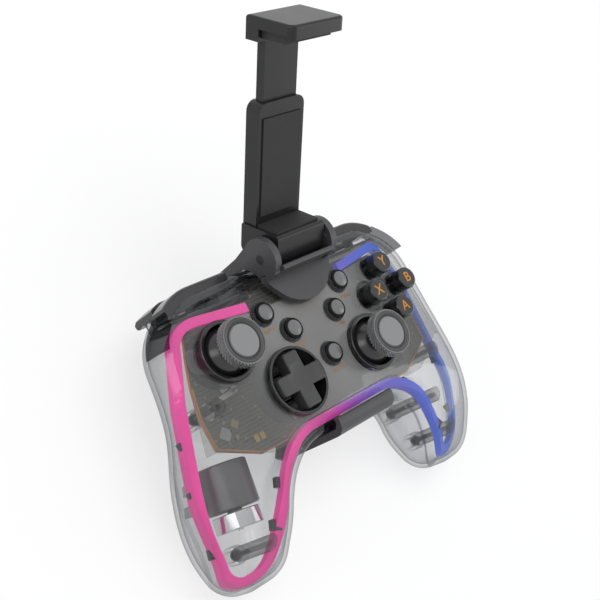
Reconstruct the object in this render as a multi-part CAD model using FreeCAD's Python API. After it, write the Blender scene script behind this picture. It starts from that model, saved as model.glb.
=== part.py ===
import FreeCAD
import Part
import math
import os

# A gamepad with a clear two-part shell and a clip-on phone holder.
# All sizes are millimetres. The model is drawn with its origin on the middle of the face: X to the
# player's right, Y up the face towards the triggers, Z out of the face. The last step moves it onto its rest.

Vector = FreeCAD.Vector

# Shell: plan outline of the right half, as corner points, each with the radius that rounds it
OUTLINE = [(54, 45.5, 24), (70.5, 32, 24), (81, -30, 70), (75.5, -67.5, 13), (48, -67, 13), (36, -28, 22)]
WALL = 1.8
EDGE_RADIUS = 10.0
SEAM_GAP = 0.15
INNER_GAP = 0.15

# Heights of the face and of the back along Y (place, height), and how both change towards the sides
FACE_ALONG = [(-90, -44), (-74, -29.5), (-66, -22), (-58, -15), (-50, -9.2), (-42, -5.3), (-34, -2.8),
              (-24, -1), (-10, 0), (15, 0), (40, 0), (60, 0)]
CROWN_DROP = 2.0
CROWN_REACH = 48.0
RIM_DROP = 4.5
RIM_REACH = 75.0
RIM_SHARE = [(-90, 1), (-30, 1), (-10, 1), (5, 0.7), (18, 0.2), (30, 0), (60, 0)]
BACK_ALONG = [(-90, -46), (-66, -47), (-56, -48.4), (-46, -48.4), (-36, -45.5), (-24, -40.5), (-10, -37),
              (15, -36.5), (40, -36), (60, -36)]
SIDE_RISE = [(-0.01, 0), (30, 0), (45, 2.5), (60, 8), (75, 12), (100, 14)]
RISE_SHARE = [(-90, 0), (-60, 0), (-32, 0), (-22, 0.08), (-12, 0.3), (-2, 0.72), (8, 0.95), (20, 1), (60, 1)]
GRID = 21
FAR = 120.0

# Light guide: a band along its own rounded loop, open behind the holder's tongue
GUIDE_LOOP = [(22, 29.9, 30), (59.8, 34.5, 9), (68.9, 8, 60), (77.9, -36, 50), (72.5, -63, 10.5), (57, -63, 8.5),
              (36.2, -22.2, 25)]
GUIDE_WIDTH = 3.8
GUIDE_HEIGHT = 4.0
GUIDE_OPENING = 54.0
GUIDE_ALONG = [(-90, -46), (-68, -31), (-60, -23.5), (-52, -17.7), (-46, -14.7), (-40, -12.2), (-34, -10.2),
               (-22, -8.6), (0, -5.6), (20, -3.6), (36, -3.2), (60, -3)]
GUIDE_ACROSS = [(-0.01, 0), (30, 0), (44, -0.6), (54, -4.2), (66, -9.6), (78, -14.9), (100, -24)]
SEAM_BELOW_GUIDE = 4.5

# Main board
BOARD_TOP = -13.0
BOARD_THICKNESS = 1.6
BOARD_OUTLINE = [(0, -20.5), (24, -20.5), (31.5, -23), (45, -22.8), (64, -13.5), (64.2, 0), (61.3, 12),
                 (57.6, 22), (52, 34.5), (14, 34.5), (14, 40.5), (0, 40.5)]
BOARD_BOTTOM = BOARD_TOP - BOARD_THICKNESS
COLUMNS = [(52, 2), (30, -16), (30, 31)]
COLUMN_RADIUS = 2.0

# Thumbsticks
STICKS = {"left": (-46.1, 18.1), "right": (23.0, -4.2)}
STICK_HEIGHT = 12.7
STICK_CAP_RADIUS = 9.4
STICK_CAP_DEPTH = 5.0
STICK_PIVOT_DEPTH = 5.5
STICK_TILT = 16.0
STICK_CLICK = 0.6
DOME_RADIUS = 10.3
DOME_WALL = 1.0
DOME_ANGLE = 76.0
NECK_RADIUS = 4.6
STEM_RADIUS = 1.7
WELL_RADIUS = 12.3
WELL_WALL = 1.0
WELL_LIP_RADIUS = 10.6
LIP_RISE = 0.8
HOLE_GAP = 0.2

# Face buttons, small buttons and cross pad
FACE_CENTRE = (46.9, 13.8)
FACE_SPREAD = 10.7
FACE_BUTTONS = {"button_y": (0, 1), "button_b": (1, 0), "button_a": (0, -1), "button_x": (-1, 0)}
FACE_BUTTON_RADIUS = 4.85
FACE_BUTTON_HEIGHT = 5.3
FACE_TRAVEL = 1.5
FLANGE_EXTRA = 1.05
FLANGE_THICKNESS = 1.2
GUIDE_TUBE_WALL = 0.8
SMALL_BUTTONS = {"minus_button": (-22.4, 25.4), "plus_button": (22.4, 25.4), "capture_button": (-13.0, 15.0),
                 "home_button": (13.0, 15.0), "turbo_button": (0.0, -0.6)}
SMALL_BUTTON_RADIUS = 3.25
SMALL_BUTTON_HEIGHT = 1.6
SMALL_BUTTON_DOME = 8.0
SMALL_TRAVEL = 0.8
SLIDE_GAP = 0.2
DPAD_CENTRE = (-23.0, -4.2)
DPAD_REACH = 11.6
DPAD_ARM_WIDTH = 7.8
DPAD_HEIGHT = 2.7
DPAD_DEPTH = 3.4
DPAD_WELL_RADIUS = 13.9
DPAD_PIVOT = -8.0
DPAD_TILT = 4.5

# Shoulders: bumpers, triggers and the frame that carries them
SHOULDER_PLATE_Y = 36.0
SHOULDER_PLATE = 1.1
SHOULDER_CUT = (25.5, 61.0)
SHOULDER_TOP = -6.0
SHOULDER_BOTTOM = -37.6
BUMPER_TOP = -6.3
BUMPER_BOTTOM = -17.0
BUMPER_PROUD = 2.3
BUMPER_DEPTH = 5.2
BUMPER_SPAN = (26.0, 60.4)
BUMPER_PIVOT = (28.6, 42.2)
BUMPER_SWING = 3.0
TRIGGER_SPAN = (31.8, 57.6)
TRIGGER_PROUD = 3.0
TRIGGER_TOP = -19.0
TRIGGER_PIVOT = (40.6, -21.6)
TRIGGER_SWING = 14.0
PIN_RADIUS = 1.5
BUMPER_PIN_RADIUS = 1.2
RUNNING_GAP = 0.06
CHEEK_START = 61.2
CHEEK_LOW_Y = 28.0
CHEEK_TOP = -5.6
CHEEK_BOTTOM = -15.0
CHEEK_PROUD = 1.6

# Rumble motor in the left grip
MOTOR_START = (-57.3, -18.8)
MOTOR_DEPTH = -25.7
MOTOR_TURN = 10.0
MOTOR_RADIUS = 10.5
MOTOR_LENGTH = 17.8
WEIGHT_RADIUS = 9.6
WEIGHT_LENGTH = 6.5
WEIGHT_GAP = 1.1
SHAFT_RADIUS = 1.0

# Battery, charging socket, screws
BATTERY = (44.0, 34.0, 8.5)
BATTERY_Y = 2.0
BATTERY_TOP = -21.0
PAD_BELOW_BATTERY = 3.2
PORT = (9.0, 8.2, 3.2)
PORT_FRONT_Y = 44.9
PORT_GAP = 0.3
SCREWS = [(49.8, -37), (62, -19), (58, -53.5), (-58, -53.5), (-59, 1), (20.2, 38.2), (-20.2, 38.2)]
SCREW_RADIUS = 1.0
SCREW_HEAD_RADIUS = 2.2
SCREW_HEAD = 1.5
SCREW_RECESS = 6.5
BOSS_RADIUS = 3.9
BOSS_FLOOR = 1.5
POST_RADIUS = 3.1
SCREW_BITE = 7.0

# Phone holder: the clamp's hinge, the frame around the shell, and the clamp, drawn in its own frame
HOLDER_X = 1.5
HINGE = (44.5, 5.0)
CLAMP_TILT = 43.1
CLAMP_SWING = (-12.0, 45.0)
HINGE_PIN_RADIUS = 2.0
FRAME_HALF = 18.0
ARM_THICKNESS = 3.2
ARM_HEAD_RADIUS = 8.8
WASHER_THICKNESS = 1.2
WASHER_RADIUS = 6.8
TONGUE_HALF = [(18.0, 38.5, 0.5), (18.0, 34.5, 5.0), (9.0, 22.7, 17.0)]
TONGUE_CLEARANCE = 0.3
TONGUE_TOP = 3.0
LEDGE_Y = 36.3
LEDGE_THICKNESS = 2.2
LEDGE_TOP = 12.0
STRAP_Y = 45.9
STRAP_THICKNESS = 3.4
BACK_PLATE_FRONT_Z = -44.0
BACK_PLATE_REAR_Z = -40.4
ARM_FOOT_Z = -37.2
HOOK_THICKNESS = 3.0
HOOK_LIP_Y = -24.3
HOOK_LIP_TOP = 0.4
HEEL_Y = 40.0
HEEL_LENGTH = 12.0
HEEL_PAD = 1.6
REST_GAP = 0.1
PHONE_LENGTH_HELD = 74.4
PHONE_BOTTOM = 10.9
PHONE_BACK = -7.4
CLAMP_HALF = 13.4
BLOCK_FRONT = 5.2
BLOCK_ROUND = 5.4
BLOCK_TOP = 9.9
CLAMP_PAD = 1.0
SPINE_FRONT = -8.1
SPINE_BACK = -15.2
SPINE_HALF = 12.5
SPINE_TOP = 60.0
SLOT_HALF = 9.3
SLOT_FRONT = -9.3
SLOT_BACK = -13.8
SLOT_FLOOR = 6.0
SLIDER_GAP = 0.2
SLIDER_END = 31.0
JAW_HALF = 14.5
JAW_FRONT = 8.6
JAW_BACK = -15.2
JAW_TOP_THICKNESS = 4.4
JAW_LIP = 5.5
JAW_THICKNESS = 8.0
JAW_TRAVEL = (-22.0, 12.0)
SPRING_RADIUS = 1.6
SPRING_LENGTH = 26.0

kept = {}


def keep(name, shape):
    kept[name] = shape


def curve_through(points):
    """A smooth height function through a few (place, height) points."""
    curve = Part.BSplineCurve()
    curve.interpolate([Vector(place, height, 0) for place, height in points])

    def height_at(place):
        low, high = curve.FirstParameter, curve.LastParameter
        for _ in range(40):
            middle = (low + high) / 2
            if curve.value(middle).x < place:
                low = middle
            else:
                high = middle
        return curve.value(low).y

    return height_at


face_along, rim_share = curve_through(FACE_ALONG), curve_through(RIM_SHARE)
back_along, side_rise, rise_share = curve_through(BACK_ALONG), curve_through(SIDE_RISE), curve_through(RISE_SHARE)
guide_along, guide_across = curve_through(GUIDE_ALONG), curve_through(GUIDE_ACROSS)


def face_height(x, y):
    crown = CROWN_DROP * (x / CROWN_REACH) ** 2
    rim = RIM_DROP * (x / RIM_REACH) ** 4 * rim_share(y)
    return face_along(y) - crown - rim


def back_height(x, y):
    return back_along(y) + side_rise(abs(x)) * rise_share(y)


def guide_height(x, y):
    return guide_along(y) + guide_across(abs(x))


def seam_height(x, y):
    return guide_height(x, y) - SEAM_BELOW_GUIDE


def box(x0, x1, y0, y1, z0, z1):
    return Part.makeBox(x1 - x0, y1 - y0, z1 - z0, Vector(x0, y0, z0))


def rod(x, y, z0, z1, radius):
    return Part.makeCylinder(radius, z1 - z0, Vector(x, y, z0))


def tube(x, y, z0, z1, outer, inner):
    return rod(x, y, z0, z1, outer).cut(rod(x, y, z0 - 1, z1 + 1, inner))


def rod_x(x0, x1, y, z, radius):
    return Part.makeCylinder(radius, x1 - x0, Vector(x0, y, z), Vector(1, 0, 0))


def rod_y(y0, y1, x, z, radius):
    return Part.makeCylinder(radius, y1 - y0, Vector(x, y0, z), Vector(0, 1, 0))


def flipped(shape):
    return shape.mirror(Vector(0, 0, 0), Vector(1, 0, 0))


def joined(shapes):
    return shapes[0].multiFuse(shapes[1:]).removeSplitter() if len(shapes) > 1 else shapes[0]


def group(shapes):
    return Part.makeCompound([solid for shape in shapes for solid in shape.Solids])


def both_sides(corners):
    """A half outline continued with its mirror image."""
    return corners + [(-x, y, radius) for x, y, radius in reversed(corners)]


def rounded_loop(corners):
    """A closed wire through corner points, each rounded with its own radius."""
    points = [Vector(x, y, 0) for x, y, radius in corners]
    bends = []
    for place, point in enumerate(points):
        before = (points[place - 1] - point).normalize()
        after = (points[(place + 1) % len(points)] - point).normalize()
        half = math.acos(before.dot(after)) / 2
        radius = corners[place][2]
        reach, depth = radius / math.tan(half), radius / math.sin(half) - radius
        middle = point + (before + after).normalize() * depth
        bends.append((point + before * reach, middle, point + after * reach))
    edges = []
    for place, (start, middle, end) in enumerate(bends):
        edges.append(Part.Arc(start, middle, end).toShape())
        following = bends[(place + 1) % len(bends)][0]
        if (following - end).Length > 0.001:
            edges.append(Part.LineSegment(end, following).toShape())
    return Part.Wire(edges)


def polygon(points, z=0.0):
    corners = [Vector(x, y, z) for x, y in points]
    return Part.Face(Part.makePolygon(corners + corners[:1]))


def plan_prism(wire, z0, z1):
    prism = Part.Face(wire).extrude(Vector(0, 0, z1 - z0))
    prism.translate(Vector(0, 0, z0))
    return prism


def side_prism(points, x0, x1):
    """A (y, z) outline drawn across the X direction."""
    corners = [Vector(x0, y, z) for y, z in points]
    return Part.Face(Part.makePolygon(corners + corners[:1])).extrude(Vector(x1 - x0, 0, 0))


def side_loop(corners, x0, x1):
    """A rounded (y, z) outline drawn across the X direction."""
    wire = rounded_loop(corners)
    wire.rotate(Vector(0, 0, 0), Vector(1, 1, 1), 120)
    solid = Part.Face(wire).extrude(Vector(x1 - x0, 0, 0))
    solid.translate(Vector(x0, 0, 0))
    return solid


def height_surface(height):
    reach_x, low_y, high_y = 100.0, -90.0, 60.0
    rows = []
    for column in range(GRID):
        x = -reach_x + 2 * reach_x * column / (GRID - 1)
        places = [low_y + (high_y - low_y) * row / (GRID - 1) for row in range(GRID)]
        rows.append([Vector(x, y, height(x, y)) for y in places])
    surface = Part.BSplineSurface()
    surface.interpolate(rows)
    return surface.toShape()


def below(height):
    return height_surface(height).extrude(Vector(0, 0, -FAR))


def above(height):
    return height_surface(height).extrude(Vector(0, 0, FAR))


def pillow(inset):
    """The gamepad's closed body, drawn smaller all round by the inset."""
    wire = rounded_loop(both_sides(OUTLINE))
    if inset:
        wire = wire.makeOffset2D(-inset)
    prism = plan_prism(wire, -70, 20)
    solid = prism.common(below(lambda x, y: face_height(x, y) - inset))
    solid = solid.common(above(lambda x, y: back_height(x, y) + inset)).Solids[0]
    for side in (-1, 0):
        curved = [face for face in solid.Faces if isinstance(face.Surface, Part.BSplineSurface)]
        largest = sorted(sorted(curved, key=lambda face: face.Area)[-2:], key=lambda face: face.CenterOfMass.z)
        solid = solid.makeFillet(EDGE_RADIUS - inset, largest[side].OuterWire.Edges)
    return solid


def spots(points):
    """Each right-hand place with its mirror image."""
    return [(sign * x, y) for x, y in points for sign in (1, -1)]


def button_places():
    x0, y0 = FACE_CENTRE
    return {name: (x0 + FACE_SPREAD * dx, y0 + FACE_SPREAD * dy) for name, (dx, dy) in FACE_BUTTONS.items()}


def shell_openings():
    """Everything that is cut through the front shell's face."""
    cuts = [rod(x, y, -30, 20, WELL_RADIUS + HOLE_GAP) for x, y in STICKS.values()]
    cuts.append(rod(*DPAD_CENTRE, -30, 20, DPAD_WELL_RADIUS + HOLE_GAP))
    cuts += [rod(x, y, -30, 20, FACE_BUTTON_RADIUS + SLIDE_GAP) for x, y in button_places().values()]
    ring = SMALL_BUTTON_RADIUS + SLIDE_GAP + GUIDE_TUBE_WALL
    cuts += [rod(x, y, -30, 20, ring + HOLE_GAP) for x, y in SMALL_BUTTONS.values()]
    return cuts


def shoulder_cut():
    x0, x1 = SHOULDER_CUT
    right = box(x0, x1, SHOULDER_PLATE_Y + SHOULDER_PLATE + 0.1, 60, SHOULDER_BOTTOM - 10, SHOULDER_TOP)
    return [right, flipped(right)]


def port_slot():
    width, depth, height = PORT
    middle = BOARD_TOP + height / 2
    half, side = width / 2 - height / 2, height / 2 + PORT_GAP
    block = box(-half, half, 30, 60, middle - side, middle + side)
    return joined([block, rod_y(30, 60, -half, middle, side), rod_y(30, 60, half, middle, side)])


def screw_floor(x, y):
    return back_height(x, y) + SCREW_RECESS


def shells(outer, cavity, trim):
    """The clear front and rear shells: one hollow body, parted at the seam, with its openings and bosses."""
    hollow = outer.cut(cavity)
    hollow = hollow.cut(group(shoulder_cut() + [port_slot()]))
    front = hollow.common(above(seam_height)).cut(group(shell_openings()))
    rear = hollow.common(below(lambda x, y: seam_height(x, y) - SEAM_GAP))
    bosses = [rod(x, y, -60, screw_floor(x, y) + BOSS_FLOOR, BOSS_RADIUS) for x, y in SCREWS]
    columns = [rod(x, y, -60, BOARD_BOTTOM, COLUMN_RADIUS) for x, y in spots(COLUMNS)]
    inside = [solid.common(outer) for solid in bosses + columns]
    rear = rear.multiFuse(inside)
    holes = []
    for x, y in SCREWS:
        holes.append(rod(x, y, -70, screw_floor(x, y), SCREW_HEAD_RADIUS + HOLE_GAP))
        holes.append(rod(x, y, -70, 0, SCREW_RADIUS + HOLE_GAP))
    rear = rear.cut(group(holes))
    keep("front_shell", front.Solids[0])
    keep("rear_shell", max(rear.Solids, key=lambda solid: solid.Volume))


def screws_and_posts(trim):
    posts, screws = [], []
    for x, y in SCREWS:
        floor = screw_floor(x, y)
        start = floor + BOSS_FLOOR
        post = tube(x, y, start, 10, POST_RADIUS, SCREW_RADIUS + 0.05).common(trim)
        posts.append(post)
        head = rod(x, y, floor - SCREW_HEAD, floor, SCREW_HEAD_RADIUS)
        slot = joined([box(x - 1.3, x + 1.3, y - 0.3, y + 0.3, floor - 3, floor - SCREW_HEAD + 0.7),
                       box(x - 0.3, x + 0.3, y - 1.3, y + 1.3, floor - 3, floor - SCREW_HEAD + 0.7)])
        shank = rod(x, y, floor - 0.1, start + SCREW_BITE, SCREW_RADIUS)
        screws.append(joined([head, shank]).cut(slot))
    keep("screw_posts", group(posts))
    keep("shell_screws", group(screws))


def light_guide(trim):
    wire = rounded_loop(both_sides(GUIDE_LOOP))
    half = GUIDE_WIDTH / 2
    band = plan_prism(wire.makeOffset2D(half), -60, 10).cut(plan_prism(wire.makeOffset2D(-half), -61, 11))
    band = band.common(below(lambda x, y: guide_height(x, y) + GUIDE_HEIGHT / 2))
    band = band.common(above(lambda x, y: guide_height(x, y) - GUIDE_HEIGHT / 2))
    band = band.cut(box(-GUIDE_OPENING / 2, GUIDE_OPENING / 2, 0, 60, -40, 10)).common(trim)
    keep("light_guide", max(band.Solids, key=lambda solid: solid.Volume))


def face_liner():
    """The smoke-tinted plate that lies under the face, inside the light guide, over the board."""
    top, thickness = WALL + 0.3, 1.0
    inner = rounded_loop(both_sides(GUIDE_LOOP)).makeOffset2D(-GUIDE_WIDTH / 2 - 0.5)
    plate = plan_prism(inner, -40, 5)
    low = [(0, -19.5), (25, -19.5), (33, -24), (46, -24), (67, -14), (90, -14), (90, 34.9), (0, 34.9)]
    keep_area = polygon(low + [(-x, y) for x, y in reversed(low[1:-1])], -50).extrude(Vector(0, 0, 60))
    plate = plate.common(keep_area)
    plate = plate.common(below(lambda x, y: face_height(x, y) - top))
    plate = plate.common(above(lambda x, y: face_height(x, y) - top - thickness))
    gap = 0.25
    holes = [rod(x, y, -40, 5, WELL_RADIUS + gap) for x, y in STICKS.values()]
    holes.append(rod(*DPAD_CENTRE, -40, 5, DPAD_WELL_RADIUS + gap))
    flange = FACE_BUTTON_RADIUS + FLANGE_EXTRA + SLIDE_GAP + GUIDE_TUBE_WALL
    holes += [rod(x, y, -40, 5, flange + gap) for x, y in button_places().values()]
    ring = SMALL_BUTTON_RADIUS + SLIDE_GAP + GUIDE_TUBE_WALL + 0.9
    holes += [rod(x, y, -40, 5, ring + gap) for x, y in SMALL_BUTTONS.values()]
    holes += [rod(x, y, -40, 5, POST_RADIUS + gap) for x, y in SCREWS]
    keep("face_liner", max(plate.cut(group(holes)).Solids, key=lambda solid: solid.Volume))


def main_board():
    half = BOARD_OUTLINE
    outline = half + [(-x, y) for x, y in reversed(half[1:-1])]
    board = polygon(outline, BOARD_BOTTOM).extrude(Vector(0, 0, BOARD_THICKNESS))
    through = [rod(x, y, -20, -10, POST_RADIUS + 0.4) for x, y in SCREWS]
    keep("main_board", board.cut(group(through)))


def board_parts():
    """Chips, the bare contact pads, connectors and lamps, seated on both sides of the board."""
    def chip(x, y, width, depth, height, turn=0.0):
        part = box(-width / 2, width / 2, -depth / 2, depth / 2, 0, height)
        part.rotate(Vector(0, 0, 0), Vector(0, 0, 1), turn)
        part.translate(Vector(x, y, BOARD_TOP))
        return part

    def underside(x, y, width, depth, height):
        return box(x - width / 2, x + width / 2, y - depth / 2, y + depth / 2, BOARD_BOTTOM - height, BOARD_BOTTOM)

    parts = [chip(-57.4, -9.5, 4.6, 4.6, 0.9, 45), chip(-51.5, -7.5, 3.2, 3.2, 0.8, 45),
             chip(-53.2, -12.6, 2.2, 1.3, 0.7, 45), chip(-55.6, -5.2, 1.6, 0.9, 0.5, 45)]
    parts += [chip(-44.6 + 3.1 * place, -16.4, 2.2, 3.0, 0.12) for place in range(2)]
    parts += [chip(-50.8 + 1.9 * place, -15.6, 1.0, 0.6, 0.45) for place in range(3)]
    parts += [chip(42, -14.5, 7.0, 5.0, 1.1), chip(52, -10, 3.0, 2.0, 0.8), chip(8, 7.5, 5.0, 5.0, 0.9)]
    parts += [chip(54.5 * sign, 1.5 - 2.2 * place, 1.6, 0.8, 0.5) for sign in (1, -1) for place in range(3)]
    parts += [underside(0, -14, 9.0, 5.0, 4.0), underside(-20, 22, 10.0, 10.0, 1.2), underside(16, 22, 7.0, 7.0, 1.0)]
    parts += [underside(-58, -6, 6.0, 3.6, 3.0)]
    keep("board_parts", group(parts))


def stick_parts(side):
    """One thumbstick: housing, carrier that slides when clicked, yoke, stem and cap, and its well."""
    x, y = STICKS[side]
    face = face_height(x, y)
    pivot = face - STICK_PIVOT_DEPTH
    centre = Vector(x, y, pivot)
    house, carrier, yoke, stem = 6.1, 5.2, 3.7, 1.9
    carrier_low, carrier_high = pivot - 4.0, pivot + 1.2

    def block(half, z0, z1):
        return box(x - half, x + half, y - half, y + half, z0, z1)

    housing = block(house, BOARD_TOP, pivot - 0.8)
    housing = housing.makeFillet(1.2, [edge for edge in housing.Edges if edge.BoundBox.ZLength > 3])
    housing = housing.cut(block(carrier + 0.2, BOARD_TOP + 0.7, pivot + 5))

    axle = 0.95
    frame = block(carrier, carrier_low, carrier_high).cut(block(carrier - 0.85, carrier_low - 1, carrier_high + 1))
    frame = frame.cut(rod_x(x - 9, x + 9, y, pivot, axle + RUNNING_GAP))
    keep(side + "_stick_carrier", frame)

    pin = 0.7
    ring = block(yoke, pivot - 1.5, pivot + 1.5)
    ring = joined([ring, rod_x(x - carrier + 0.2, x + carrier - 0.2, y, pivot, axle)])
    ring = ring.cut(block(yoke - 1.0, pivot - 3, pivot + 3)).cut(rod_y(y - 9, y + 9, x, pivot, pin + RUNNING_GAP))
    keep(side + "_stick_yoke", ring)

    cap_top = face + STICK_HEIGHT
    shaft_top = cap_top - 3.0
    shaft = joined([block(stem, pivot - 1.8, pivot + 1.8), rod(x, y, pivot + 1.8, shaft_top, STEM_RADIUS),
                    rod_y(y - yoke + 0.15, y + yoke - 0.15, x, pivot, pin)])
    keep(side + "_stick_stem", shaft)
    keep(side + "_stick_cap", stick_cap(centre, cap_top, shaft_top))
    return housing, stick_well(x, y, face)


def stick_cap(centre, cap_top, shaft_top):
    """Dome, neck and knurled cap as one turned solid."""
    under = cap_top - STICK_CAP_DEPTH
    dome = Part.makeSphere(DOME_RADIUS, centre).cut(Part.makeSphere(DOME_RADIUS - DOME_WALL, centre))
    edge = centre.z + DOME_RADIUS * math.cos(math.radians(DOME_ANGLE))
    dome = dome.common(box(centre.x - 20, centre.x + 20, centre.y - 20, centre.y + 20, edge, centre.z + 20))
    neck = Part.makeCone(NECK_RADIUS, NECK_RADIUS + 1.0, under + 1 - (centre.z + DOME_RADIUS - 1.4),
                         Vector(centre.x, centre.y, centre.z + DOME_RADIUS - 1.4))
    rim, inner = STICK_CAP_RADIUS, STICK_CAP_RADIUS - 2.2
    points = [(0, under), (rim - 1.6, under), (rim, under + 1.4), (rim, cap_top - 1.5), (rim - 0.9, cap_top - 0.3),
              (inner + 0.9, cap_top), (inner + 0.2, cap_top - 0.9), (inner - 0.6, cap_top - 0.9),
              (inner - 0.9, cap_top - 0.4), (0, cap_top - 0.4)]
    outline = [Vector(centre.x + radius, centre.y, z) for radius, z in points]
    head = Part.Face(Part.makePolygon(outline + outline[:1])).revolve(Vector(centre.x, centre.y, 0), Vector(0, 0, 1), 360)
    bore = rod(centre.x, centre.y, centre.z - 20, shaft_top + 0.02, STEM_RADIUS + 0.02)
    return joined([dome, neck, head]).cut(bore)


def stick_well(x, y, face):
    wall = tube(x, y, BOARD_TOP, face + LIP_RISE, WELL_RADIUS, WELL_RADIUS - WELL_WALL)
    lip = tube(x, y, face + LIP_RISE - 1.6, face + LIP_RISE, WELL_RADIUS, WELL_LIP_RADIUS)
    well = joined([wall, lip])
    top = [edge for edge in well.Edges if abs(edge.BoundBox.ZMin - face - LIP_RISE) < 0.01 and edge.Length > 60]
    return well.makeFillet(0.5, top)


def cross_pad():
    x, y = DPAD_CENTRE
    face = face_height(x, y)
    top, bottom = face + DPAD_HEIGHT, face - DPAD_DEPTH
    half = DPAD_ARM_WIDTH / 2
    arms = joined([box(x - DPAD_REACH, x + DPAD_REACH, y - half, y + half, bottom, top),
                   box(x - half, x + half, y - DPAD_REACH, y + DPAD_REACH, bottom, top)])
    ends = [edge for edge in arms.Edges if edge.BoundBox.ZLength > 3
            and math.hypot(edge.CenterOfMass.x - x, edge.CenterOfMass.y - y) > DPAD_REACH]
    arms = arms.makeFillet(1.3, ends)
    rims = [edge for edge in arms.Edges if abs(edge.BoundBox.ZMin - top) < 0.01]
    arms = arms.makeFillet(0.9, rims)
    dish = Part.makeSphere(30, Vector(x, y, top + 29.2))
    ring, hub, pin = 4.4, 2.6, 0.8
    stalk = box(x - hub, x + hub, y - hub, y + hub, DPAD_PIVOT - 1.8, bottom + 1)
    pad = joined([arms.cut(dish), stalk, rod_x(x - ring + 0.15, x + ring - 0.15, y, DPAD_PIVOT, pin)])
    keep("cross_pad", pad)

    gimbal = box(x - ring, x + ring, y - ring, y + ring, DPAD_PIVOT - 1.4, DPAD_PIVOT + 1.4)
    axle = 0.9
    gimbal = joined([gimbal, rod_y(y - ring - 1.3, y + ring + 1.3, x, DPAD_PIVOT, axle)])
    inner = ring - 1.1
    gimbal = gimbal.cut(box(x - inner, x + inner, y - inner, y + inner, DPAD_PIVOT - 3, DPAD_PIVOT + 3))
    keep("cross_pad_gimbal", gimbal.cut(rod_x(x - 9, x + 9, y, DPAD_PIVOT, pin + RUNNING_GAP)))

    floor = BOARD_TOP + 1.2
    cup = rod(x, y, BOARD_TOP, face + 0.6, DPAD_WELL_RADIUS).cut(rod(x, y, floor, 20, DPAD_WELL_RADIUS - 1.0))
    ears = [box(x - 1.9, x + 1.9, y + sign * (ring + 1.0) - 0.65, y + sign * (ring + 1.0) + 0.65, floor - 0.5,
                DPAD_PIVOT + 1.7) for sign in (1, -1)]
    cup = joined([cup] + ears).cut(rod_y(y - 8, y + 8, x, DPAD_PIVOT, axle + RUNNING_GAP))
    keep("cross_pad_well", cup)
    posts = [rod(x + 8.4 * dx, y + 8.4 * dy, floor, bottom - 1.3, 2.2) for dx, dy in ((1, 0), (-1, 0), (0, 1), (0, -1))]
    return posts


def face_buttons():
    tubes, pads = [], []
    for name, (x, y) in button_places().items():
        face = face_height(x, y)
        lowest = min(face_height(x + dx, y + dy) for dx in (-6, 0, 6) for dy in (-6, 0, 6))
        shelf = lowest - WALL - 0.2
        flange = FACE_BUTTON_RADIUS + FLANGE_EXTRA
        foot = BOARD_TOP + 1.0 + FACE_TRAVEL + 0.2
        cap = rod(x, y, shelf - FLANGE_THICKNESS, face + FACE_BUTTON_HEIGHT, FACE_BUTTON_RADIUS)
        cap = cap.makeFillet(0.8, [edge for edge in cap.Edges if abs(edge.BoundBox.ZMin - face - FACE_BUTTON_HEIGHT) < 0.01
                                   and edge.Length > 20])
        button = joined([cap, rod(x, y, shelf - FLANGE_THICKNESS, shelf, flange), rod(x, y, foot, shelf, 2.6)])
        keep(name, button)
        inner = flange + SLIDE_GAP
        tubes.append(tube(x, y, BOARD_TOP, shelf - 0.1, inner + GUIDE_TUBE_WALL, inner))
        pads.append(rod(x, y, BOARD_TOP, BOARD_TOP + 1.0, 4.0))
    return tubes, pads


def small_buttons():
    rings, pads = [], []
    for name, (x, y) in SMALL_BUTTONS.items():
        face = face_height(x, y)
        bore = SMALL_BUTTON_RADIUS + SLIDE_GAP
        outer = bore + GUIDE_TUBE_WALL
        ring = joined([tube(x, y, face - 5, face + 0.5, outer, bore), tube(x, y, face - 3.0, face - 2.1, outer + 0.9, bore)])
        rings.append(ring)
        foot = BOARD_TOP + 0.8 + SMALL_TRAVEL + 0.2
        top = face + SMALL_BUTTON_HEIGHT
        cap = rod(x, y, face - 6.0, top, SMALL_BUTTON_RADIUS)
        cap = cap.common(Part.makeSphere(SMALL_BUTTON_DOME, Vector(x, y, top - SMALL_BUTTON_DOME)))
        button = joined([cap, rod(x, y, face - 6.3, face - 5.2, bore + 0.6), rod(x, y, foot, face - 6, 1.8)])
        keep(name, button)
        pads.append(rod(x, y, BOARD_TOP, BOARD_TOP + 0.8, 3.0))
    return rings, pads


def shoulder_outline(proud):
    wire = rounded_loop(both_sides(OUTLINE))
    return wire.makeOffset2D(proud)


def bumper():
    x0, x1 = BUMPER_SPAN
    band = plan_prism(shoulder_outline(BUMPER_PROUD), BUMPER_BOTTOM, BUMPER_TOP)
    band = band.cut(plan_prism(shoulder_outline(BUMPER_PROUD - BUMPER_DEPTH - 2.2), BUMPER_BOTTOM - 1, BUMPER_TOP + 1))
    band = band.common(box(x0, x1, SHOULDER_PLATE_Y + SHOULDER_PLATE + 2.4, 60, BUMPER_BOTTOM, BUMPER_TOP))
    outer = [edge for edge in band.Edges if edge.BoundBox.YMin > 41 and edge.BoundBox.ZLength < 0.01
             and edge.BoundBox.YMax > 44.5 and edge.Length > 3]
    band = band.makeFillet(1.6, outer)
    px, py = BUMPER_PIVOT
    return band.cut(rod(px, py, BUMPER_BOTTOM - 1, BUMPER_TOP - 1.5, BUMPER_PIN_RADIUS + RUNNING_GAP))


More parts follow.
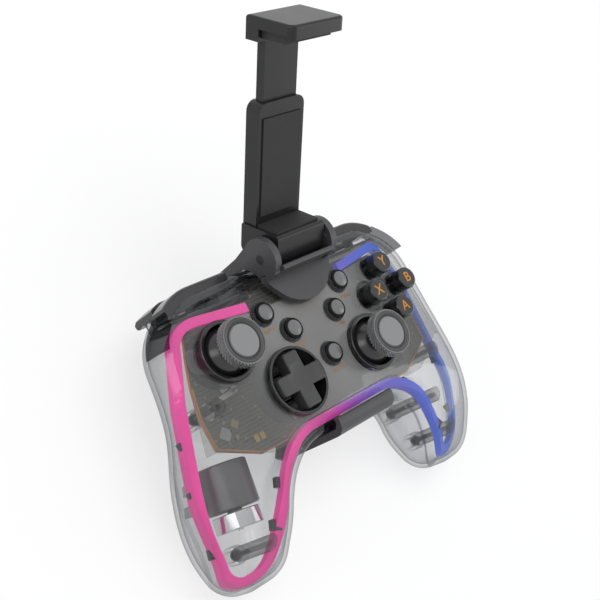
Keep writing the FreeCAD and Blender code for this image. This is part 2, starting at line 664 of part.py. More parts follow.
def shoulder_cheek():
    """A smoke-tinted cover round the shell's corner, between the bumper's end and the grip."""
    block = plan_prism(shoulder_outline(CHEEK_PROUD), CHEEK_BOTTOM, CHEEK_TOP)
    block = block.common(box(CHEEK_START, 90, CHEEK_LOW_Y, 60, CHEEK_BOTTOM, CHEEK_TOP))
    rims = [edge for edge in block.Edges if edge.BoundBox.ZMin > CHEEK_TOP - 0.1
            and edge.BoundBox.XLength > 1 and edge.BoundBox.YLength > 1]
    block = block.makeFillet(0.6, rims)
    return max(block.cut(pillow(-0.1)).Solids, key=lambda solid: solid.Volume)


def trigger():
    """A curved lever whose tip stands out behind the shell; its hub turns on a pin along X."""
    x0, x1 = TRIGGER_SPAN
    y, z = TRIGGER_PIVOT
    back = y - 1.6
    side = [(back, TRIGGER_TOP, 0.5), (48.0, TRIGGER_TOP, 1.6), (48.0, z - 3.4, 8), (46.6, z - 8.4, 4),
            (44.8, z - 12.0, 1.3), (42.2, z - 11.2, 1.0), (42.8, z - 6.9, 3), (back + 2, z - 3.6, 1.2), (back, z - 3.0, 1)]
    lever = side_loop(side, x0, x1)
    lever = lever.makeFillet(0.9, [edge for edge in lever.Edges if edge.BoundBox.XLength < 0.01])
    lever = lever.common(plan_prism(shoulder_outline(TRIGGER_PROUD), -60, 0))
    lever = lever.cut(rod_x(x0 - 1, x1 + 1, y, z, PIN_RADIUS + RUNNING_GAP))
    middle = (x0 + x1) / 2
    return lever.cut(box(middle - 2.4, middle + 2.4, back - 1, y + 3.3, z - 5, z + 5))


def shoulder_frame(trim):
    """The plate that closes the shell behind the shoulder, with ears for the trigger pin and a tab for the bumper."""
    inner_y, outer_y = SHOULDER_PLATE_Y, SHOULDER_PLATE_Y + SHOULDER_PLATE
    plate = box(SHOULDER_CUT[0] - 1.0, 64, inner_y, outer_y, -34, -6.5)
    x0, x1 = TRIGGER_SPAN
    y, z = TRIGGER_PIVOT
    ears = [box(x0 - 1.5, x0 - 0.3, inner_y, y + 2.4, z - 2.4, -18.2),
            box(x1 + 0.3, x1 + 1.5, inner_y, y + 0.0, z - 2.4, -18.2)]
    ears[1] = box(x1 + 0.3, x1 + 1.5, inner_y, y + 2.2, z - 2.4, z + 2.4)
    px, py = BUMPER_PIVOT
    tab = box(px - 2.6, px + 1.7, inner_y, py + 1.8, -18.4, BUMPER_BOTTOM - 0.3)
    frame = joined([plate.common(trim)] + ears + [tab])
    return frame.cut(rod_x(0, 80, y, z, PIN_RADIUS)).cut(rod(px, py, -25, -5, BUMPER_PIN_RADIUS))


def shoulders(trim):
    y, z = TRIGGER_PIVOT
    x0, x1 = TRIGGER_SPAN
    px, py = BUMPER_PIVOT
    pins = [rod_x(x0 - 1.5, x1 + 1.5, y, z, PIN_RADIUS), rod(px, py, -18.4, BUMPER_TOP - 1.8, BUMPER_PIN_RADIUS)]
    middle = (x0 + x1) / 2
    coil = Part.makeCylinder(PIN_RADIUS + 1.2, 4.2, Vector(middle - 2.1, y, z), Vector(1, 0, 0))
    coil = coil.cut(rod_x(x0, x1, y, z, PIN_RADIUS + 0.1))
    for name, shape in {"bumper": bumper(), "trigger": trigger()}.items():
        keep("right_" + name, shape)
        keep("left_" + name, flipped(shape))
    frame = shoulder_frame(trim)
    keep("shoulder_frames", group([frame, flipped(frame)]))
    keep("shoulder_pins", group(pins + [flipped(pin) for pin in pins]))
    keep("trigger_springs", group([coil, flipped(coil)]))
    cheek = shoulder_cheek()
    keep("shoulder_cheeks", group([cheek, flipped(cheek)]))


def motor_place(shape):
    """From motor coordinates (shaft towards -Y from the can's top end) to its place in the left grip."""
    shape.rotate(Vector(0, 0, 0), Vector(0, 0, 1), -MOTOR_TURN)
    shape.translate(Vector(MOTOR_START[0], MOTOR_START[1], MOTOR_DEPTH))
    return shape


def rumble_motor(trim):
    can = Part.makeCylinder(MOTOR_RADIUS, MOTOR_LENGTH, Vector(0, -MOTOR_LENGTH, 0), Vector(0, 1, 0))
    ends = [edge for edge in can.Edges if edge.Length > 40]
    can = can.makeFillet(0.9, ends)
    nose = rod_y(-MOTOR_LENGTH - 0.8, -MOTOR_LENGTH, 0, 0, 3.0)
    shaft_end = -MOTOR_LENGTH - WEIGHT_GAP - WEIGHT_LENGTH - 0.8
    bore = rod_y(-MOTOR_LENGTH - 5, -3.0, 0, 0, SHAFT_RADIUS + RUNNING_GAP)
    keep("rumble_motor", motor_place(joined([can, nose]).cut(bore)))
    keep("motor_shaft", motor_place(rod_y(shaft_end, -3.4, 0, 0, SHAFT_RADIUS)))

    start = -MOTOR_LENGTH - WEIGHT_GAP
    weight = rod_y(start - WEIGHT_LENGTH, start, 0, 0, WEIGHT_RADIUS)
    weight = weight.makeFillet(0.5, [edge for edge in weight.Edges if edge.Length > 40])
    pockets = [rod_y(start - WEIGHT_LENGTH - 1, start + 1, 5.6 * math.cos(turn), 5.6 * math.sin(turn), 2.2)
               for turn in (math.radians(55), math.radians(125))]
    weight = weight.cut(group(pockets)).cut(rod_y(start - 10, start + 5, 0, 0, SHAFT_RADIUS))
    keep("motor_weight", motor_place(weight))

    length = 4.0
    saddles = []
    for along in (-3.0, -MOTOR_LENGTH + 3.0 + length):
        block = box(-MOTOR_RADIUS - 2, MOTOR_RADIUS + 2, along - length, along, -40, -3)
        block = block.cut(rod_y(-MOTOR_LENGTH - 1, 1, 0, 0, MOTOR_RADIUS + 0.1))
        saddles += motor_place(block).common(trim).Solids
    keep("motor_cradle", group([solid for solid in saddles if solid.Volume > 20]))


def battery_and_port(trim):
    width, depth, height = BATTERY
    y = BATTERY_Y
    cell = box(-width / 2, width / 2, y - depth / 2, y + depth / 2, BATTERY_TOP - height, BATTERY_TOP)
    keep("battery", cell.makeFillet(1.2, [edge for edge in cell.Edges if edge.BoundBox.YLength > 30]))
    low = BATTERY_TOP - height
    pad = box(-width / 2 + 4, width / 2 - 4, y - depth / 2 + 4, y + depth / 2 - 4, low - 20, low).common(trim)
    keep("battery_pad", pad)
    width, depth, height = PORT
    middle, side = BOARD_TOP + height / 2, height / 2
    half = width / 2 - side
    start = PORT_FRONT_Y - depth

    def shape_of(radius, y0, y1):
        block = box(-half, half, y0, y1, middle - radius, middle + radius)
        return joined([block, rod_y(y0, y1, -half, middle, radius), rod_y(y0, y1, half, middle, radius)])

    case = shape_of(side, start, PORT_FRONT_Y).cut(shape_of(side - 0.35, start + 1.5, PORT_FRONT_Y + 1))
    blade = box(-half, half, start + 1, PORT_FRONT_Y - 1.2, middle - 0.35, middle + 0.35)
    keep("charging_socket", joined([case, blade]))


grown = {}


def holder_frame():
    """The fixed part of the holder: tongue and ledge on the face, two arms, the back plate and the bottom hook."""
    x0, x1 = HOLDER_X - FRAME_HALF, HOLDER_X + FRAME_HALF
    hinge_y, hinge_z = HINGE
    tongue = plan_prism(rounded_loop(both_sides(TONGUE_HALF)), -8, TONGUE_TOP)
    tongue.translate(Vector(HOLDER_X, 0, 0))
    hollow = height_surface(lambda x, y: face_height(x, y) + TONGUE_CLEARANCE).extrude(Vector(0, 0, -FAR))
    tongue = tongue.cut(hollow)
    ledge = box(x0 + ARM_THICKNESS + 0.05, x1 - ARM_THICKNESS - 0.05, LEDGE_Y, LEDGE_Y + LEDGE_THICKNESS, 2.0, LEDGE_TOP)
    top = [edge for edge in ledge.Edges if edge.BoundBox.ZMin > LEDGE_TOP - 0.1 and edge.BoundBox.XLength > 10]
    scoop = rod_x(x0 - 1, x1 + 1, hinge_y, hinge_z, WASHER_RADIUS + 0.2)
    keep("holder_tongue", joined([tongue, ledge.makeFillet(0.9, top)]).cut(scoop))

    arm = Part.makeCylinder(ARM_HEAD_RADIUS, ARM_THICKNESS, Vector(x0, hinge_y, hinge_z), Vector(1, 0, 0))
    strap_out = STRAP_Y + STRAP_THICKNESS
    top_z, low_z = TONGUE_TOP + 0.1, ARM_FOOT_Z
    back_edge = LEDGE_Y + LEDGE_THICKNESS + 0.1
    web = side_prism([(LEDGE_Y, top_z), (LEDGE_Y, hinge_z + 4), (hinge_y - 3.5, hinge_z + 7.8), (hinge_y + 8.4, hinge_z - 2.2),
                      (strap_out + 1.4, -8), (strap_out, -30), (strap_out, low_z), (STRAP_Y, low_z), (STRAP_Y, -12),
                      (back_edge, -4), (back_edge, top_z)], x0, x0 + ARM_THICKNESS)
    arm = joined([arm, web]).cut(rod_x(x0 - 1, x0 + 10, hinge_y, hinge_z, HINGE_PIN_RADIUS + 0.02))
    arm = arm.cut(box(x0 - 1, x1 + 1, 30, LEDGE_Y + LEDGE_THICKNESS + 0.05, -10, TONGUE_TOP + 0.05))
    arm = max(arm.cut(outer_with_gap()).Solids, key=lambda solid: solid.Volume)
    right = arm.copy()
    right.translate(Vector(2 * FRAME_HALF - ARM_THICKNESS, 0, 0))
    keep("holder_arms", group([arm, right]))

    bottom, rear = BACK_PLATE_FRONT_Z, BACK_PLATE_REAR_Z
    hook_out = OUTLINE[-1][1] - HOOK_THICKNESS - 0.3
    plate_side = [(HOOK_LIP_Y + 4, bottom), (HOOK_LIP_Y + 4, -30), (strap_out, -30), (strap_out, rear), (8, rear - 0.6)]
    plate = side_prism(plate_side, x0, x1)
    plate = plate.cut(box(x0 - 1, x1 + 1, STRAP_Y - 0.1, 80, low_z - 0.05, 0))
    plate = plate.cut(outer_with_gap())
    plate = max(plate.Solids, key=lambda solid: solid.BoundBox.YLength)
    heel_low = lowest_back() - REST_GAP + HEEL_PAD
    heel = box(x0 + 3, x1 - 3, HEEL_Y - HEEL_LENGTH / 2, HEEL_Y + HEEL_LENGTH / 2, heel_low, rear + 1)
    keep("holder_back", joined([plate, heel]))
    pads = [box(HOLDER_X + sign * 9 - 4.5, HOLDER_X + sign * 9 + 4.5, HEEL_Y - HEEL_LENGTH / 2 + 1,
                HEEL_Y + HEEL_LENGTH / 2 - 1, heel_low - HEEL_PAD, heel_low) for sign in (1, -1)]
    keep("heel_pads", group(pads))

    hx0, hx1 = x0 + 1.5, x1 - 1.5
    hook_side = [(HOOK_LIP_Y, HOOK_LIP_TOP, 1.0), (hook_out, HOOK_LIP_TOP, 5.5), (hook_out, bottom, 4.0),
                 (HOOK_LIP_Y + 3.9, bottom, 0.3), (HOOK_LIP_Y + 3.9, -25, 0.3), (HOOK_LIP_Y, -25, 0.3)]
    hook = side_loop(hook_side, hx0, hx1)
    hook_in = hook_out + HOOK_THICKNESS
    inner_side = [(hook_in, HOOK_LIP_TOP - 2.4, 3.2), (hook_in, back_along(hook_in) - 1.1, EDGE_RADIUS + 0.3),
                  (0, -32.9, 3.2), (0, HOOK_LIP_TOP - 2.4, 3.2)]
    space = side_loop(inner_side, hx0 - 1, hx1 + 1)
    keep("holder_hook", max(hook.cut(space).Solids, key=lambda solid: solid.Volume))


def lowest_back():
    return min(back_height(x, y) for x in range(45, 76, 2) for y in range(-66, -40, 2))


def outer_with_gap():
    """The shell's outside, a little larger, for cutting what lies against it."""
    if "shell" not in grown:
        grown["shell"] = pillow(-0.3)
    return grown["shell"]


def clamp_place(shape):
    """From the clamp's frame (Y along the phone's height from the hinge, Z towards its glass) to its rest tilt."""
    shape.rotate(Vector(0, 0, 0), Vector(1, 0, 0), CLAMP_TILT)
    shape.translate(Vector(HOLDER_X, HINGE[0], HINGE[1]))
    return shape


def clamp():
    half = CLAMP_HALF
    jaw_inside = PHONE_BOTTOM + PHONE_LENGTH_HELD
    block = side_loop([(-BLOCK_ROUND, BLOCK_FRONT, BLOCK_ROUND - 0.1), (BLOCK_TOP, BLOCK_FRONT, 1.8),
                       (BLOCK_TOP, SPINE_BACK, 0.8), (-1.5, SPINE_BACK, 3.0), (-BLOCK_ROUND, -3.5, 4.0)], -half, half)
    spine = box(-SPINE_HALF, SPINE_HALF, 3, SPINE_TOP, SPINE_BACK, SPINE_FRONT)
    tops = [edge for edge in spine.Edges if edge.BoundBox.YMin > SPINE_TOP - 0.1 and edge.BoundBox.ZLength > 3]
    spine = spine.makeFillet(4.0, tops)
    body = joined([block, spine])
    body = body.cut(box(-SLOT_HALF, SLOT_HALF, SLOT_FLOOR, SPINE_TOP + 1, SLOT_BACK, SLOT_FRONT))
    body = body.cut(rod_x(-half - 1, half + 1, 0, 0, HINGE_PIN_RADIUS + RUNNING_GAP))
    body = body.cut(box(-4.2, 4.2, SLOT_FLOOR + 14, SPINE_TOP - 10, SPINE_BACK - 1, SLOT_BACK + 0.5))
    keep("clamp_body", clamp_place(body))

    rest = box(-half + 1.5, half - 1.5, BLOCK_TOP, BLOCK_TOP + CLAMP_PAD, PHONE_BACK - 0.5, BLOCK_FRONT - 2.2)
    spine_pad = box(-SPINE_HALF + 2, SPINE_HALF - 2, BLOCK_TOP + 4, SPINE_TOP - 6, SPINE_FRONT, PHONE_BACK - 0.1)
    keep("clamp_pads", clamp_place(group([rest, spine_pad])))

    top = jaw_inside + JAW_THICKNESS
    profile = [(jaw_inside - 1.2, JAW_BACK + 0.6), (jaw_inside - 1.2, SPINE_FRONT), (top - JAW_TOP_THICKNESS, SPINE_FRONT),
               (top - JAW_TOP_THICKNESS, JAW_FRONT - 2.4), (top - JAW_LIP, JAW_FRONT - 2.4), (top - JAW_LIP, JAW_FRONT),
               (top, JAW_FRONT), (top, JAW_BACK + 0.6)]
    jaw = side_prism(profile, -JAW_HALF, JAW_HALF)
    corners = [edge for edge in jaw.Edges if edge.BoundBox.ZMin > JAW_FRONT - 0.1 and edge.BoundBox.YLength > 3]
    jaw = jaw.makeFillet(2.6, corners)
    rims = [edge for edge in jaw.Edges if edge.BoundBox.YMin > top - 0.1]
    jaw = jaw.makeFillet(1.1, rims)
    gap = SLIDER_GAP
    arm = box(-SLOT_HALF + gap, SLOT_HALF - gap, SLIDER_END, jaw_inside + 1, SLOT_BACK + gap, SLOT_FRONT - gap)
    room = SLOT_FLOOR + SPRING_LENGTH - JAW_TRAVEL[0] + 1
    arm = arm.cut(box(-2.6, 2.6, SLIDER_END - 1, room, SLOT_BACK - 1, SLOT_FRONT + 1))
    keep("clamp_jaw", clamp_place(joined([jaw, arm])))
    pad = box(-JAW_HALF + 2, JAW_HALF - 2, jaw_inside, top - JAW_TOP_THICKNESS, SPINE_FRONT, JAW_FRONT - 5.0)
    keep("jaw_pad", clamp_place(pad))
    spring = rod_y(SLOT_FLOOR, SLOT_FLOOR + SPRING_LENGTH, 0, (SLOT_BACK + SLOT_FRONT) / 2, SPRING_RADIUS)
    keep("clamp_spring", clamp_place(spring))

    x0, x1 = HOLDER_X - FRAME_HALF, HOLDER_X + FRAME_HALF
    y, z = HINGE
    keep("hinge_pin", rod_x(x0 + 0.1, x1 - 0.1, y, z, HINGE_PIN_RADIUS))
    inner = x0 + ARM_THICKNESS
    washer = friction_washer(inner, y, z)
    other = friction_washer(x1 - ARM_THICKNESS - WASHER_THICKNESS, y, z)
    keep("friction_washers", group([washer, other]))


def friction_washer(x, y, z):
    disc = Part.makeCylinder(WASHER_RADIUS, WASHER_THICKNESS, Vector(x, y, z), Vector(1, 0, 0))
    disc = disc.cut(rod_x(x - 1, x + 5, y, z, HINGE_PIN_RADIUS))
    notches = []
    for turn in range(0, 360, 30):
        notch = box(x - 1, x + 5, WASHER_RADIUS - 0.7, WASHER_RADIUS + 2, -0.9, 0.9)
        notch.rotate(Vector(0, 0, 0), Vector(1, 0, 0), turn)
        notch.translate(Vector(0, y, z))
        notches.append(notch)
    return disc.cut(group(notches))


def build():
    outer, cavity, trim = pillow(0), pillow(WALL), pillow(WALL + INNER_GAP)
    shells(outer, cavity, trim)
    screws_and_posts(trim)
    light_guide(trim)
    face_liner()
    main_board()
    board_parts()
    housings, wells = zip(*[stick_parts(side) for side in STICKS])
    keep("stick_housings", group(housings))
    keep("stick_wells", group(wells))
    posts = cross_pad()
    tubes, pads = face_buttons()
    rings, small_pads = small_buttons()
    inside = plan_prism(rounded_loop(both_sides(GUIDE_LOOP)).makeOffset2D(-GUIDE_WIDTH / 2 - 0.3), -60, 10)
    keep("button_guides", group([tube.common(inside) for tube in tubes]))
    keep("button_rings", group(rings))
    keep("keypad_membranes", group(pads + small_pads + posts))
    shoulders(trim)
    rumble_motor(trim)
    battery_and_port(trim)
    holder_frame()
    clamp()


def rest_shift():
    """Moves the origin to the middle of the part's footprint, on the surface that it lies on."""
    boxes = [shape.optimalBoundingBox(False, False) for shape in kept.values()]
    middle = (min(b.YMin for b in boxes) + max(b.YMax for b in boxes)) / 2
    middle_x = (min(b.XMin for b in boxes) + max(b.XMax for b in boxes)) / 2
    return Vector(-middle_x, -middle, -min(b.ZMin for b in boxes))


def export():
    os.makedirs("parts", exist_ok=True)
    shift = rest_shift()
    print("shift", [round(value, 4) for value in shift])
    for name, shape in kept.items():
        shape.translate(shift)
        shape.exportStep("parts/" + name + ".step")


if __name__ == "__main__":
    build()
    export()
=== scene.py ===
import math

import bmesh
import bpy
from mathutils import Matrix, Vector


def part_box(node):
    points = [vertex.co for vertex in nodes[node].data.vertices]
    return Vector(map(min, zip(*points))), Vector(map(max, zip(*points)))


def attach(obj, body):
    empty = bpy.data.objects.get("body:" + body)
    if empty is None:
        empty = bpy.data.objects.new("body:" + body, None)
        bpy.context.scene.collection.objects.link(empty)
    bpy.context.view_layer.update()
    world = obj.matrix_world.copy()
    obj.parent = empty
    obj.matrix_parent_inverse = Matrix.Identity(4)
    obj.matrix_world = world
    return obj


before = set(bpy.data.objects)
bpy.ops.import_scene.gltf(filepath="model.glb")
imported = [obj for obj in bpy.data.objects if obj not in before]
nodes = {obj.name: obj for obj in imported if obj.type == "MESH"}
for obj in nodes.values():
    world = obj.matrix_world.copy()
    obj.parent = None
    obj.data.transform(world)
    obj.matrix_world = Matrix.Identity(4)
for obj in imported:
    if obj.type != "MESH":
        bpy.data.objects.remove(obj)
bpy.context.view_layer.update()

# Clear shell. Two polished clear plastic halves, 1.8 mm thick, screwed together along the seam. Face-on
# they are a faint grey, seen edge-on they turn darker, and they mirror the room sharply.
FACE_MIDDLE = (0.0, -27.4255, 49.0434)


def from_face(x, y, z):
    """A point given in millimetres from the middle of the pad's face, as row-frame metres."""
    return Vector([(part + middle) / 1000 for part, middle in zip((x, y, z), FACE_MIDDLE)])


def new_group(name, inputs, outputs):
    group = bpy.data.node_groups.new(name, "ShaderNodeTree")
    for label, default in inputs:
        made = group.interface.new_socket(label, in_out="INPUT", socket_type="NodeSocketFloat")
        made.default_value = default
    for label, kind in outputs:
        group.interface.new_socket(label, in_out="OUTPUT", socket_type=kind)
    return group, group.nodes.new("NodeGroupInput"), group.nodes.new("NodeGroupOutput")


def grain_group():
    """Moulded texture: a fine bump and a slow drift in gloss over the surface."""
    group, start, end = new_group("moulded_grain",
                                  [("Scale", 1400), ("Depth", 0.15), ("Gloss", 0.4), ("Drift", 0.06)],
                                  [("Normal", "NodeSocketVector"), ("Roughness", "NodeSocketFloat")])
    make, link = group.nodes.new, group.links.new
    spot, fine, bump = make("ShaderNodeTexCoord"), make("ShaderNodeTexNoise"), make("ShaderNodeBump")
    fine.inputs["Detail"].default_value = 3
    bump.inputs["Distance"].default_value = 0.00006
    link(spot.outputs["Object"], fine.inputs["Vector"])
    link(start.outputs["Scale"], fine.inputs["Scale"])
    link(fine.outputs["Fac"], bump.inputs["Height"])
    link(start.outputs["Depth"], bump.inputs["Strength"])
    link(bump.outputs["Normal"], end.inputs["Normal"])
    slow, centred, scaled = make("ShaderNodeTexNoise"), make("ShaderNodeMath"), make("ShaderNodeMath")
    slow.inputs["Scale"].default_value = 60
    slow.inputs["Detail"].default_value = 4
    centred.operation, scaled.operation = "SUBTRACT", "MULTIPLY_ADD"
    centred.inputs[1].default_value = 0.5
    link(spot.outputs["Object"], slow.inputs["Vector"])
    link(slow.outputs["Fac"], centred.inputs[0])
    link(centred.outputs[0], scaled.inputs[0])
    link(start.outputs["Drift"], scaled.inputs[1])
    link(start.outputs["Gloss"], scaled.inputs[2])
    link(scaled.outputs[0], end.inputs["Roughness"])
    return group


grain = grain_group()


def new_finish(name):
    """A new material, with its nodes, its link function and its own Principled shader."""
    made = bpy.data.materials.new(name)
    made.use_nodes = True
    return made, made.node_tree.nodes, made.node_tree.links.new, made.node_tree.nodes["Principled BSDF"]


def add_grain(n, link, shader, scale, depth, gloss, drift):
    fine = n.new("ShaderNodeGroup")
    fine.node_tree = grain
    for label, value in (("Scale", scale), ("Depth", depth), ("Gloss", gloss), ("Drift", drift)):
        fine.inputs[label].default_value = value
    link(fine.outputs["Normal"], shader.inputs["Normal"])
    link(fine.outputs["Roughness"], shader.inputs["Roughness"])


def clear_plastic(name, face_on, edge_on, least, most, rough):
    """See-through plastic: a tint and a share of mirror, both growing where the surface is seen edge-on."""
    made, n, link, mirror = new_finish(name)
    seen, tint, share = n.new("ShaderNodeLayerWeight"), n.new("ShaderNodeMix"), n.new("ShaderNodeMapRange")
    slow, steep = n.new("ShaderNodeMath"), n.new("ShaderNodeMath")
    slow.operation = steep.operation = "POWER"
    slow.inputs[1].default_value = 2.4
    steep.inputs[1].default_value = 4.5
    tint.data_type = "RGBA"
    tint.inputs["A"].default_value = (*face_on, 1)
    tint.inputs["B"].default_value = (*edge_on, 1)
    share.inputs["To Min"].default_value = least
    share.inputs["To Max"].default_value = most
    link(seen.outputs["Facing"], slow.inputs[0])
    link(seen.outputs["Facing"], steep.inputs[0])
    link(slow.outputs[0], tint.inputs["Factor"])
    link(steep.outputs[0], share.inputs["Value"])
    mirror.inputs["Base Color"].default_value = (0.93, 0.94, 0.95, 1)
    mirror.inputs["Metallic"].default_value = 1
    add_grain(n, link, mirror, 320, 0.05, rough, 0.02)
    through, both = n.new("ShaderNodeBsdfTransparent"), n.new("ShaderNodeMixShader")
    link(tint.outputs["Result"], through.inputs["Color"])
    link(share.outputs["Result"], both.inputs["Fac"])
    link(through.outputs[0], both.inputs[1])
    link(mirror.outputs[0], both.inputs[2])
    link(both.outputs[0], n["Material Output"].inputs["Surface"])
    return made


def give(made, *names):
    for name in names:
        nodes[name].data.materials.clear()
        nodes[name].data.materials.append(made)


give(clear_plastic("clear_shell", (0.905, 0.907, 0.912), (0.36, 0.365, 0.372), 0.03, 0.42, 0.03),
     "front_shell", "rear_shell")

# Clear inner mouldings: the button guide tubes and the motor's saddle are grey-clear and less polished,
# and the screw posts are a shade darker.
give(clear_plastic("clear_frame", (0.74, 0.745, 0.755), (0.25, 0.252, 0.26), 0.05, 0.4, 0.12),
     "button_guides", "motor_cradle")
give(clear_plastic("dark_clear", (0.72, 0.72, 0.725), (0.2, 0.2, 0.205), 0.05, 0.4, 0.15), "screw_posts")

# Smoke-tinted plate under the face, and the covers round the shoulder corners. Grey see-through plastic
# with a cloudy haze in it, painted thickest round the small buttons and thin over the board's outer corners:
# the paler middle is a painted reflection.
REFLECTION_MIDDLE = (0, 12, -3)
REFLECTION_NEAR, REFLECTION_FAR, REFLECTION_FAR_SHARE = 0.018, 0.055, 0.18


def smoke_plastic(name, see_through, haze_colour, haze_low, haze_high):
    made, n, link, haze = new_finish(name)
    haze.inputs["Base Color"].default_value = (*haze_colour, 1)
    haze.inputs["Specular IOR Level"].default_value = 0.1
    add_grain(n, link, haze, 500, 0.01, 0.45, 0.05)
    clear, both = n.new("ShaderNodeBsdfTransparent"), n.new("ShaderNodeMixShader")
    clear.inputs["Color"].default_value = (*see_through, 1)
    spot, cloud, share = n.new("ShaderNodeTexCoord"), n.new("ShaderNodeTexNoise"), n.new("ShaderNodeMapRange")
    cloud.inputs["Scale"].default_value = 28
    cloud.inputs["Detail"].default_value = 1
    share.inputs["From Min"].default_value = 0.3
    share.inputs["From Max"].default_value = 0.7
    share.inputs["To Min"].default_value = haze_low
    share.inputs["To Max"].default_value = haze_high
    # The haze thins with distance from the middle of the face: a painted reflection.
    reach, reflection_fade, scaled = n.new("ShaderNodeVectorMath"), n.new("ShaderNodeMapRange"), n.new("ShaderNodeMath")
    reach.operation, scaled.operation = "DISTANCE", "MULTIPLY"
    reach.inputs[1].default_value = from_face(*REFLECTION_MIDDLE)
    reflection_fade.inputs["From Min"].default_value = REFLECTION_NEAR
    reflection_fade.inputs["From Max"].default_value = REFLECTION_FAR
    reflection_fade.inputs["To Min"].default_value = 1.0
    reflection_fade.inputs["To Max"].default_value = REFLECTION_FAR_SHARE
    link(spot.outputs["Object"], cloud.inputs["Vector"])
    link(spot.outputs["Object"], reach.inputs[0])
    link(reach.outputs["Value"], reflection_fade.inputs["Value"])
    link(cloud.outputs["Fac"], share.inputs["Value"])
    link(share.outputs["Result"], scaled.inputs[0])
    link(reflection_fade.outputs["Result"], scaled.inputs[1])
    link(scaled.outputs[0], both.inputs["Fac"])
    link(clear.outputs[0], both.inputs[1])
    link(haze.outputs[0], both.inputs[2])
    link(both.outputs[0], n["Material Output"].inputs["Surface"])
    return made


give(smoke_plastic("smoke_liner", (0.86, 0.86, 0.85), (0.70, 0.695, 0.665), 0.30, 0.46), "face_liner")
give(smoke_plastic("smoke_cheek", (0.50, 0.50, 0.51), (0.06, 0.06, 0.062), 0.35, 0.5), "shoulder_cheeks")

# Light guide. A milky moulded strip lit from inside: pink on the left, violet in the middle and blue on
# the right, a little uneven along its length.
glow, n, link, shader = new_finish("light_guide")
spot, split, ramp = n.new("ShaderNodeTexCoord"), n.new("ShaderNodeSeparateXYZ"), n.new("ShaderNodeValToRGB")
spread, wave, strength = n.new("ShaderNodeMapRange"), n.new("ShaderNodeTexNoise"), n.new("ShaderNodeMath")
spread.inputs["From Min"].default_value = -0.08
spread.inputs["From Max"].default_value = 0.08
wave.inputs["Scale"].default_value = 45
strength.operation = "MULTIPLY_ADD"
strength.inputs[1].default_value = 0.3
strength.inputs[2].default_value = 0.34
stops = ramp.color_ramp.elements
stops[0].color = (0.66, 0.035, 0.26, 1)
stops[1].color = (0.012, 0.085, 0.50, 1)
for position, colour in ((0.3, (0.70, 0.045, 0.29)), (0.43, (0.60, 0.055, 0.33)), (0.5, (0.34, 0.06, 0.42)),
                         (0.6, (0.17, 0.09, 0.50)), (0.75, (0.06, 0.10, 0.54)), (0.88, (0.018, 0.09, 0.54))):
    stops.new(position).color = (*colour, 1)
link(spot.outputs["Object"], split.inputs["Vector"])
link(split.outputs["X"], spread.inputs["Value"])
link(spread.outputs["Result"], ramp.inputs["Fac"])
link(spot.outputs["Object"], wave.inputs["Vector"])
link(wave.outputs["Fac"], strength.inputs[0])
link(ramp.outputs["Color"], shader.inputs["Base Color"])
link(ramp.outputs["Color"], shader.inputs["Emission Color"])
link(strength.outputs[0], shader.inputs["Emission Strength"])
shader.inputs["Roughness"].default_value = 0.4
give(glow, "light_guide")

# Guide clips. Small dark snap tabs hold the light guide to the shell's inner wall, three down the outer
# side and three along the inner side of each grip.
CLIP_SIZE = (0.0042, 0.0046, 0.0026)
CLIP_SINK = 1.6
COLOUR_DRIFT = 0.18


def opaque(name, colour, gloss, depth=0.15, scale=1400, drift=0.06, metal=0.0, coat=0.0, spec=0.5):
    """Opaque material with a fine grain and a slight unevenness of colour."""
    made, n, link, shader = new_finish(name)
    shader.inputs["Metallic"].default_value = metal
    shader.inputs["Coat Weight"].default_value = coat
    shader.inputs["Coat Roughness"].default_value = 0.08
    shader.inputs["Specular IOR Level"].default_value = spec
    add_grain(n, link, shader, scale, depth, gloss, drift)
    spot, cloud, mix = n.new("ShaderNodeTexCoord"), n.new("ShaderNodeTexNoise"), n.new("ShaderNodeMix")
    cloud.inputs["Scale"].default_value = 90
    cloud.inputs["Detail"].default_value = 5
    mix.data_type = "RGBA"
    mix.inputs["A"].default_value = (*[part * (1 - COLOUR_DRIFT) for part in colour], 1)
    mix.inputs["B"].default_value = (*[min(1, part * (1 + COLOUR_DRIFT)) for part in colour], 1)
    link(spot.outputs["Object"], cloud.inputs["Vector"])
    link(cloud.outputs["Fac"], mix.inputs["Factor"])
    link(mix.outputs["Result"], shader.inputs["Base Color"])
    return made


def piece_of(name, mesh, body, made):
    """A mesh becomes a piece that rides on a body."""
    mesh.materials.clear()
    mesh.materials.append(made)
    piece = bpy.data.objects.new(name, mesh)
    bpy.context.scene.collection.objects.link(piece)
    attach(piece, body)


def piece_from(name, shape, body, made):
    """A finished bmesh becomes a piece that rides on a body."""
    bmesh.ops.recalc_face_normals(shape, faces=shape.faces)
    mesh = bpy.data.meshes.new(name)
    shape.to_mesh(mesh)
    shape.free()
    piece_of(name, mesh, body, made)


def rounded_block(shape, size, where, edge):
    """A block of a size in metres, set by a matrix, with its edges rounded."""
    made = bmesh.ops.create_cube(shape, size=1, matrix=where @ Matrix.Diagonal((*size, 1)))
    edges = list({line for corner in made["verts"] for line in corner.link_edges})
    bmesh.ops.bevel(shape, geom=edges, offset=edge, affect="EDGES", segments=2, profile=0.5, material=-1)


def turned(x, y, z, degrees):
    """A place in face millimetres, turned about the upright axis."""
    return Matrix.Translation(from_face(x, y, z)) @ Matrix.Rotation(math.radians(degrees), 4, "Z")


clips = bmesh.new()
for side in (1, -1):
    for x, y, z, turn in ((71.9, -6, -17.7, 78), (75.3, -24, -21.6, 78), (75.2, -47, -28.2, 105),
                          (44.6, -35.5, -12.0, 118), (51.6, -49, -17.5, 118), (38.6, -26.5, -10.2, 130)):
        rounded_block(clips, CLIP_SIZE, turned(side * x, y, z - CLIP_SINK, side * turn), 0.0003)
piece_from("guide_clips", clips, "gamepad", opaque("tab_black", (0.035, 0.035, 0.038), 0.3))

